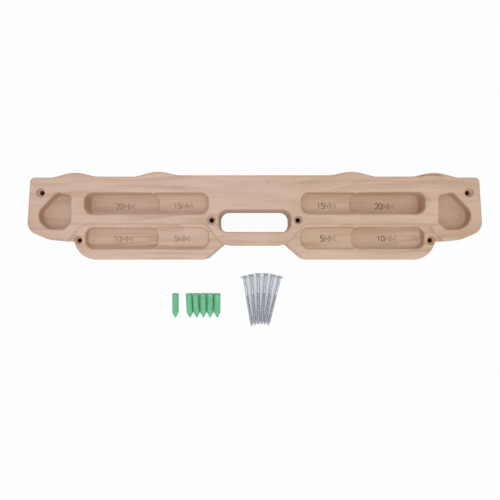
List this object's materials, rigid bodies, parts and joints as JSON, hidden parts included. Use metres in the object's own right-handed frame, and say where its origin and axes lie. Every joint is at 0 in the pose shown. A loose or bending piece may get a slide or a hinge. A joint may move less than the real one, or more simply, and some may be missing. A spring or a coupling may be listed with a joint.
{
  "type": "hangboard",
  "caption": "Wooden climbing hangboard with finger pockets of several depths, a through hand slot, and its countersunk wall screws and wall plugs laid out beside it.",
  "frame": {"origin": "on the board's back face, midway between the two middle screw holes", "axes": "+X along the board to the right seen from its front, +Y towards its top edge, +Z out of its face; the board lies on its back at z = 0 with the screws and plugs beside its lower edge"},
  "size_m": [0.6, 0.2147, 0.04],
  "materials": {
    "board_wood": "fine sanded, unfinished pale hardwood",
    "screw_steel": "zinc plated",
    "plug_plastic": "moulded, satin"
  },
  "bodies": {
    "board": {"board": "board_wood"},
    "screw_1": {"screw_1": "screw_steel"},
    "screw_2": {"screw_2": "screw_steel"},
    "screw_3": {"screw_3": "screw_steel"},
    "screw_4": {"screw_4": "screw_steel"},
    "screw_5": {"screw_5": "screw_steel"},
    "screw_6": {"screw_6": "screw_steel"},
    "plug_1": {"plug_1": "plug_plastic"},
    "plug_2": {"plug_2": "plug_plastic"},
    "plug_3": {"plug_3": "plug_plastic"},
    "plug_4": {"plug_4": "plug_plastic"},
    "plug_5": {"plug_5": "plug_plastic"},
    "plug_6": {"plug_6": "plug_plastic"}
  },
  "joints": [
    {"name": "screw_1_lift", "type": "slide", "parent": "board", "child": "screw_1", "axis": [0, 0, 1], "range_m": [0, 0.1]},
    {"name": "screw_2_lift", "type": "slide", "parent": "board", "child": "screw_2", "axis": [0, 0, 1], "range_m": [0, 0.1]},
    {"name": "screw_3_lift", "type": "slide", "parent": "board", "child": "screw_3", "axis": [0, 0, 1], "range_m": [0, 0.1]},
    {"name": "screw_4_lift", "type": "slide", "parent": "board", "child": "screw_4", "axis": [0, 0, 1], "range_m": [0, 0.1]},
    {"name": "screw_5_lift", "type": "slide", "parent": "board", "child": "screw_5", "axis": [0, 0, 1], "range_m": [0, 0.1]},
    {"name": "screw_6_lift", "type": "slide", "parent": "board", "child": "screw_6", "axis": [0, 0, 1], "range_m": [0, 0.1]},
    {"name": "plug_1_lift", "type": "slide", "parent": "board", "child": "plug_1", "axis": [0, 0, 1], "range_m": [0, 0.1]},
    {"name": "plug_2_lift", "type": "slide", "parent": "board", "child": "plug_2", "axis": [0, 0, 1], "range_m": [0, 0.1]},
    {"name": "plug_3_lift", "type": "slide", "parent": "board", "child": "plug_3", "axis": [0, 0, 1], "range_m": [0, 0.1]},
    {"name": "plug_4_lift", "type": "slide", "parent": "board", "child": "plug_4", "axis": [0, 0, 1], "range_m": [0, 0.1]},
    {"name": "plug_5_lift", "type": "slide", "parent": "board", "child": "plug_5", "axis": [0, 0, 1], "range_m": [0, 0.1]},
    {"name": "plug_6_lift", "type": "slide", "parent": "board", "child": "plug_6", "axis": [0, 0, 1], "range_m": [0, 0.1]}
  ]
}
